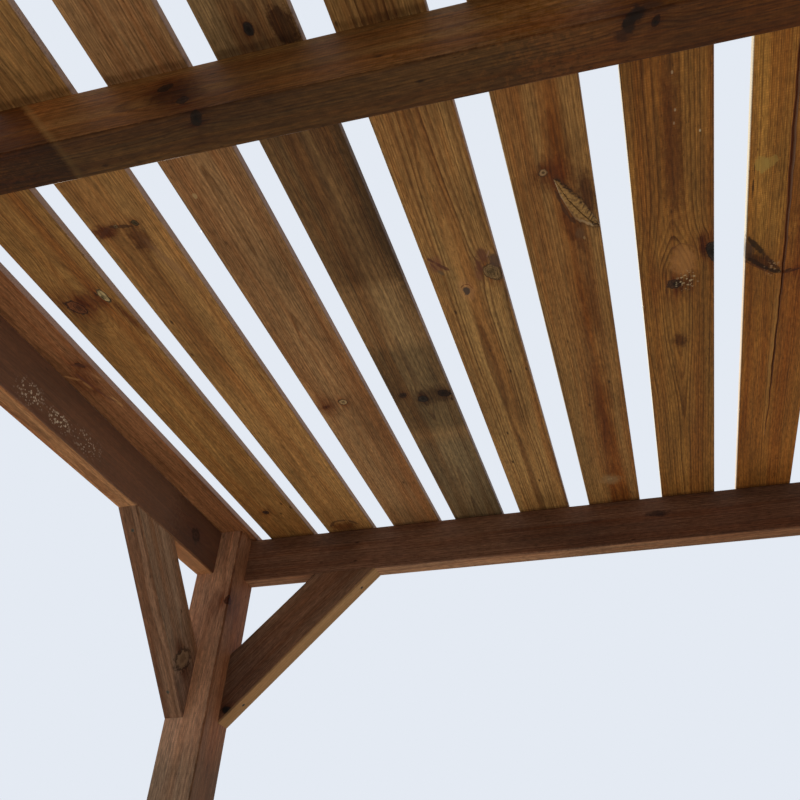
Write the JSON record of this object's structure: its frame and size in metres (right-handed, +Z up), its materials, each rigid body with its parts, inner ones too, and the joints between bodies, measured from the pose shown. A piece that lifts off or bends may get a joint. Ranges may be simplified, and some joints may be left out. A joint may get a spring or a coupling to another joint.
{
  "type": "wooden pergola",
  "caption": "Open garden pergola of squared softwood posts and beams with knee braces, roofed by spaced flat boards.",
  "frame": {"origin": "on the ground, in the middle of the four posts", "axes": "X the width, left to right seen from the front; Y the depth, front to back, the way the roof boards run; Z up"},
  "size_m": [3, 2.96, 2.416],
  "materials": {
    "post_timber": "planed softwood, brown pressure treated",
    "beam_timber": "planed softwood, brown pressure treated",
    "brace_timber": "planed softwood, brown pressure treated",
    "roof_board_timber": "planed softwood, brown pressure treated"
  },
  "bodies": {
    "root": {"back_beam": "beam_timber", "cross_brace_back_left": "brace_timber", "cross_brace_back_right": "brace_timber", "cross_brace_front_left": "brace_timber", "cross_brace_front_right": "brace_timber", "front_beam": "beam_timber", "left_beam": "beam_timber", "mid_beam": "beam_timber", "post_back_left": "post_timber", "post_back_right": "post_timber", "post_front_left": "post_timber", "post_front_right": "post_timber", "right_beam": "beam_timber", "roof_board_01": "roof_board_timber", "roof_board_02": "roof_board_timber", "roof_board_03": "roof_board_timber", "roof_board_04": "roof_board_timber", "roof_board_05": "roof_board_timber", "roof_board_06": "roof_board_timber", "roof_board_07": "roof_board_timber", "roof_board_08": "roof_board_timber", "roof_board_09": "roof_board_timber", "roof_board_10": "roof_board_timber", "roof_board_11": "roof_board_timber", "roof_board_12": "roof_board_timber", "roof_board_13": "roof_board_timber", "roof_board_14": "roof_board_timber", "roof_board_15": "roof_board_timber", "roof_board_16": "roof_board_timber", "side_brace_back_left": "brace_timber", "side_brace_back_right": "brace_timber", "side_brace_front_left": "brace_timber", "side_brace_front_right": "brace_timber"}
  },
  "joints": []
}
